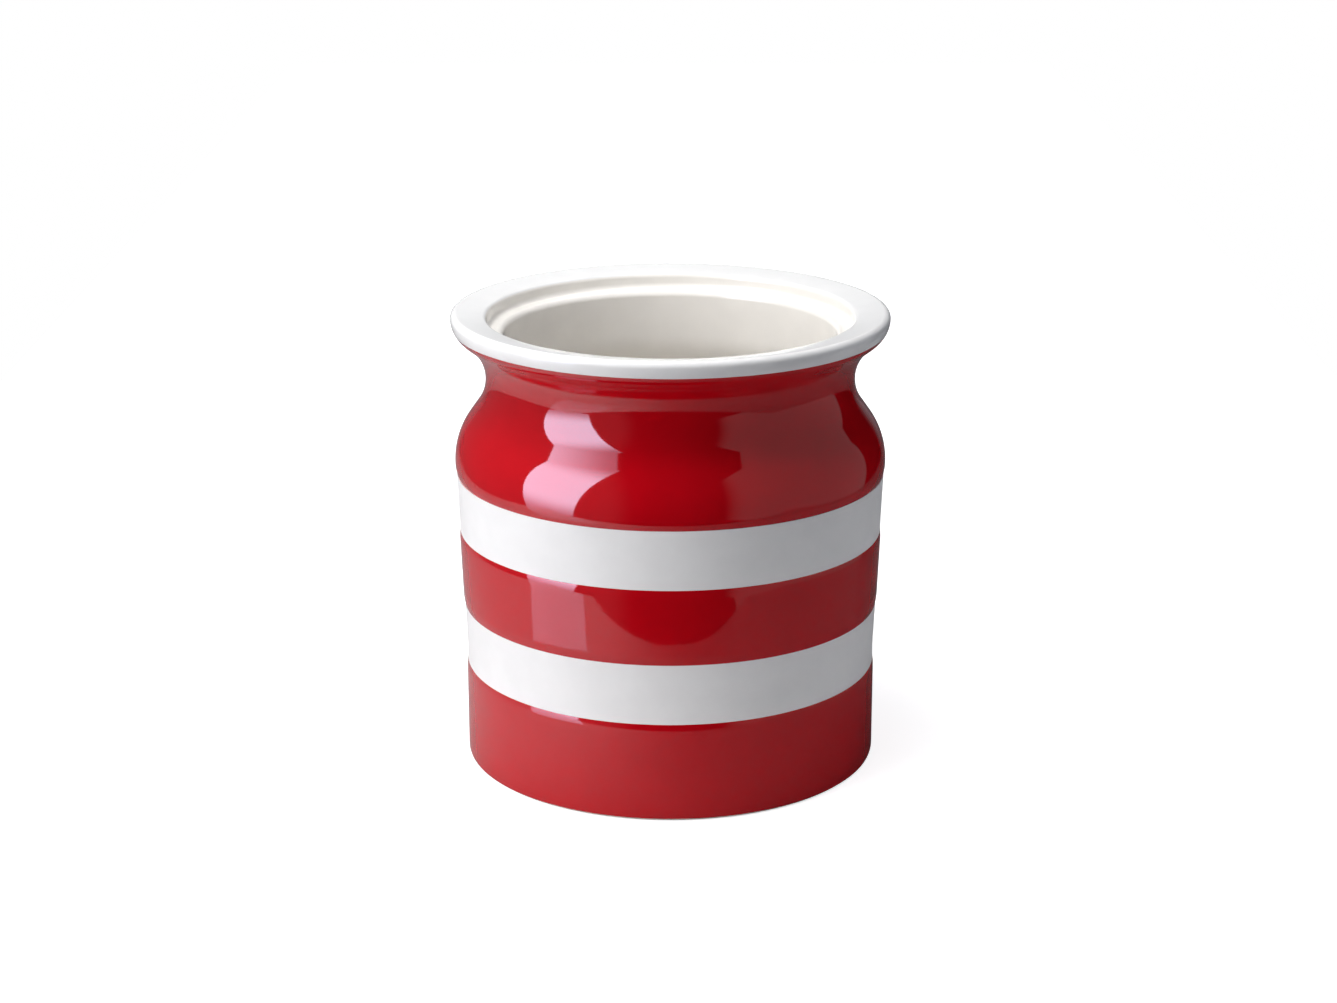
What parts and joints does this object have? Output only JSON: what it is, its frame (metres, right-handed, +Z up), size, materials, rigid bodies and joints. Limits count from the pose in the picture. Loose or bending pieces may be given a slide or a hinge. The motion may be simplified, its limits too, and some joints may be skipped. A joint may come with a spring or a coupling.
{
  "type": "utensil crock",
  "caption": "Open glazed crock with a straight banded body, rounded shoulder, waisted neck and flared lip with a ledge inside, for standing kitchen utensils in.",
  "frame": {"origin": "on the pot's axis, at the standing face of the foot ring", "axes": "+Z up along the pot's axis, towards the mouth; the pot is the same all round, and the picture looks along +Y"},
  "size_m": [0.1413, 0.1414, 0.1493],
  "materials": {
    "bare_clay": "matt biscuit, fine grained",
    "red_slip": "high gloss glaze over coloured slip",
    "white_glaze": "gloss glaze over white clay",
    "satin_white": "thin satin glaze over turned white clay"
  },
  "bodies": {
    "root": {"clay_body": "bare_clay", "shoulder_band": "red_slip", "upper_white_band": "satin_white", "middle_band": "red_slip", "lower_white_band": "satin_white", "lower_band": "red_slip", "rim_glaze": "white_glaze", "lining_glaze": "white_glaze", "underside_glaze": "white_glaze"}
  },
  "joints": []
}
